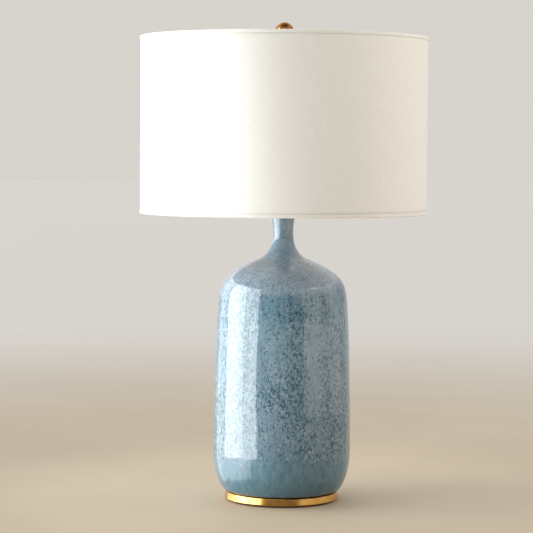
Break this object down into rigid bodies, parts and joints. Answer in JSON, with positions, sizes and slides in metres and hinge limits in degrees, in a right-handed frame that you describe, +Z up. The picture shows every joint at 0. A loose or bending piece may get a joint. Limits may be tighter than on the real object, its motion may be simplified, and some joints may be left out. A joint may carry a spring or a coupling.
{
  "type": "table lamp with drum shade",
  "caption": "Table lamp with a mottled blue glazed ceramic jar body on a round brass base and a white fabric drum shade held on a wire harp by a brass ball finial.",
  "frame": {"origin": "centre of the felt pad's underside, on the surface that the lamp stands on", "axes": "+Z up along the lamp's axis, the front faces -Y, the switch knob points to +X and the cord inlet to +Y"},
  "size_m": [0.4581, 0.4582, 0.7642],
  "materials": {
    "felt_pad": "matte",
    "base_plate": "satin",
    "cord_grommet": "matte",
    "base_washer": "satin",
    "base_lock_washer": "satin",
    "base_nut": "satin",
    "threaded_rod": "satin",
    "body_gasket": "matte",
    "ceramic_body": "gloss",
    "neck_washer": "matte",
    "neck_cap": "satin",
    "neck_spacer": "satin",
    "harp_saddle": "satin",
    "harp_wire": "satin",
    "harp_stud": "satin",
    "harp_sleeve_front": "satin",
    "harp_sleeve_back": "satin",
    "socket_cap": "satin",
    "socket_set_screw": "satin",
    "socket_shell": "satin",
    "socket_sleeve": "matte",
    "switch_block": "satin",
    "terminal_screws": "satin",
    "screw_shell": "satin",
    "centre_contact": "satin",
    "switch_shaft": "satin",
    "switch_knob": "satin",
    "bulb_tip_contact": "satin",
    "bulb_insulator": "gloss",
    "bulb_screw_cap": "satin",
    "bulb_glass": "satin",
    "bulb_stem": "gloss",
    "bulb_lead_wires": "satin",
    "bulb_filament": "matte",
    "shade_fabric": "matte",
    "shade_liner": "satin",
    "shade_top_ring": "satin",
    "shade_bottom_ring": "satin",
    "shade_top_hem": "matte",
    "shade_bottom_hem": "matte",
    "spider_hub": "satin",
    "spider_arms": "satin",
    "finial_bush": "satin",
    "finial_foot": "polished",
    "finial_ball": "polished"
  },
  "bodies": {
    "base": {"felt_pad": "felt_pad", "base_plate": "base_plate", "cord_grommet": "cord_grommet", "base_washer": "base_washer", "base_lock_washer": "base_lock_washer", "base_nut": "base_nut", "threaded_rod": "threaded_rod", "body_gasket": "body_gasket", "ceramic_body": "ceramic_body", "neck_washer": "neck_washer", "neck_cap": "neck_cap", "neck_spacer": "neck_spacer", "harp_saddle": "harp_saddle", "harp_wire": "harp_wire", "harp_stud": "harp_stud", "socket_cap": "socket_cap", "socket_set_screw": "socket_set_screw", "socket_shell": "socket_shell", "socket_sleeve": "socket_sleeve", "switch_block": "switch_block", "terminal_screws": "terminal_screws", "screw_shell": "screw_shell", "centre_contact": "centre_contact"},
    "switch": {"switch_shaft": "switch_shaft", "switch_knob": "switch_knob"},
    "sleeve_front": {"harp_sleeve_front": "harp_sleeve_front"},
    "sleeve_back": {"harp_sleeve_back": "harp_sleeve_back"},
    "bulb_lift": {"bulb_tip_contact": "bulb_tip_contact"},
    "bulb": {"bulb_insulator": "bulb_insulator", "bulb_screw_cap": "bulb_screw_cap", "bulb_glass": "bulb_glass", "bulb_stem": "bulb_stem", "bulb_lead_wires": "bulb_lead_wires", "bulb_filament": "bulb_filament"},
    "shade": {"shade_fabric": "shade_fabric", "shade_liner": "shade_liner", "shade_top_ring": "shade_top_ring", "shade_bottom_ring": "shade_bottom_ring", "shade_top_hem": "shade_top_hem", "shade_bottom_hem": "shade_bottom_hem", "spider_hub": "spider_hub", "spider_arms": "spider_arms"},
    "finial_lift": {"finial_bush": "finial_bush"},
    "finial": {"finial_foot": "finial_foot", "finial_ball": "finial_ball"}
  },
  "joints": [
    {"name": "switch_turn", "type": "hinge", "parent": "base", "child": "switch", "pos_m": [0.0255, 0, 0.503], "axis": [1, 0, 0], "continuous": true},
    {"name": "sleeve_front_lift", "type": "slide", "parent": "base", "child": "sleeve_front", "axis": [0, 0, 1], "range_m": [0, 0.016]},
    {"name": "sleeve_back_lift", "type": "slide", "parent": "base", "child": "sleeve_back", "axis": [0, 0, 1], "range_m": [0, 0.016]},
    {"name": "bulb_rise", "type": "slide", "parent": "base", "child": "bulb_lift", "axis": [0, 0, 1], "range_m": [0, 0.01453]},
    {"name": "bulb_unscrew", "type": "hinge", "parent": "bulb_lift", "child": "bulb", "pos_m": [0, 0, 0.52], "axis": [0, 0, 1], "range_deg": [0, 1440]},
    {"name": "shade_turn", "type": "hinge", "parent": "base", "child": "shade", "pos_m": [0, 0, 0.7274], "axis": [0, 0, 1], "continuous": true},
    {"name": "finial_rise", "type": "slide", "parent": "base", "child": "finial_lift", "axis": [0, 0, 1], "range_m": [0, 0.00566]},
    {"name": "finial_unscrew", "type": "hinge", "parent": "finial_lift", "child": "finial", "pos_m": [0, 0, 0.7494], "axis": [0, 0, 1], "range_deg": [0, 2160]}
  ],
  "couplings": [
    {"joint": "bulb_rise", "follows": "bulb_unscrew", "m_per_rad": 0.0005775},
    {"joint": "finial_rise", "follows": "finial_unscrew", "m_per_rad": 0.00014972}
  ]
}
